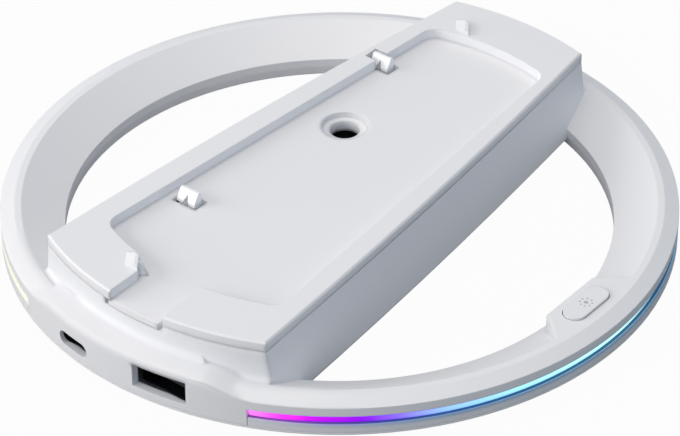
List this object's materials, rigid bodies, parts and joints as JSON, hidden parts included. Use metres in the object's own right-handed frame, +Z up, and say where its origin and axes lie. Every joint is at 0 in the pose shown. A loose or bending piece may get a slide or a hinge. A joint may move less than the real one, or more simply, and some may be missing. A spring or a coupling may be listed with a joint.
{
  "type": "console vertical stand",
  "caption": "Round foot with a raised dock bar across it, a lit edge, a charging inlet, an outlet, snap hooks and a light button.",
  "frame": {"origin": "centre of the ring on the table", "axes": "+Z up, -Y towards the side with the ports, +X towards the light button"},
  "size_m": [0.16, 0.16, 0.0218],
  "materials": {
    "white_plastic": "fine matte moulded",
    "cover_plastic": "fine matte moulded",
    "hook_plastic": "satin moulded",
    "diffuser": "milky, lit from behind",
    "circuit_board": "solder resist",
    "flex_board": "flexible circuit",
    "led": "resin",
    "steel": "plated",
    "contacts": "gold-plated",
    "black_plastic": "moulded",
    "grey_plastic": "moulded",
    "cream_plastic": "moulded",
    "red_wire": "insulation",
    "black_wire": "insulation",
    "rubber": "matte"
  },
  "bodies": {
    "stand": {"upper_housing": "white_plastic", "bottom_cover": "cover_plastic", "dock_plate": "white_plastic", "snap_hook_front": "hook_plastic", "snap_hook_rear": "hook_plastic", "hook_screws": "steel", "light_diffuser": "diffuser", "led_strip": "flex_board", "led_chips": "led", "tact_switch": "grey_plastic", "button_board": "circuit_board", "main_board": "circuit_board", "usb_c_shell": "steel", "usb_c_tongue": "black_plastic", "usb_a_shell": "steel", "usb_a_insulator": "black_plastic", "usb_a_contacts": "contacts", "controller_chip": "black_plastic", "power_parts": "grey_plastic", "wire_sockets": "cream_plastic", "led_wires": "red_wire", "button_wires": "black_wire", "cover_screws": "steel", "plate_screws": "steel", "board_screws": "steel", "rubber_feet": "rubber"},
    "button": {"light_button": "white_plastic", "switch_plunger": "black_plastic"}
  },
  "joints": [
    {"name": "light_button_press", "type": "slide", "parent": "stand", "child": "button", "axis": [0, 0, -1], "range_m": [0, 0.0004], "stiffness_N_per_m": 1000, "springref_m": -0.0003}
  ]
}
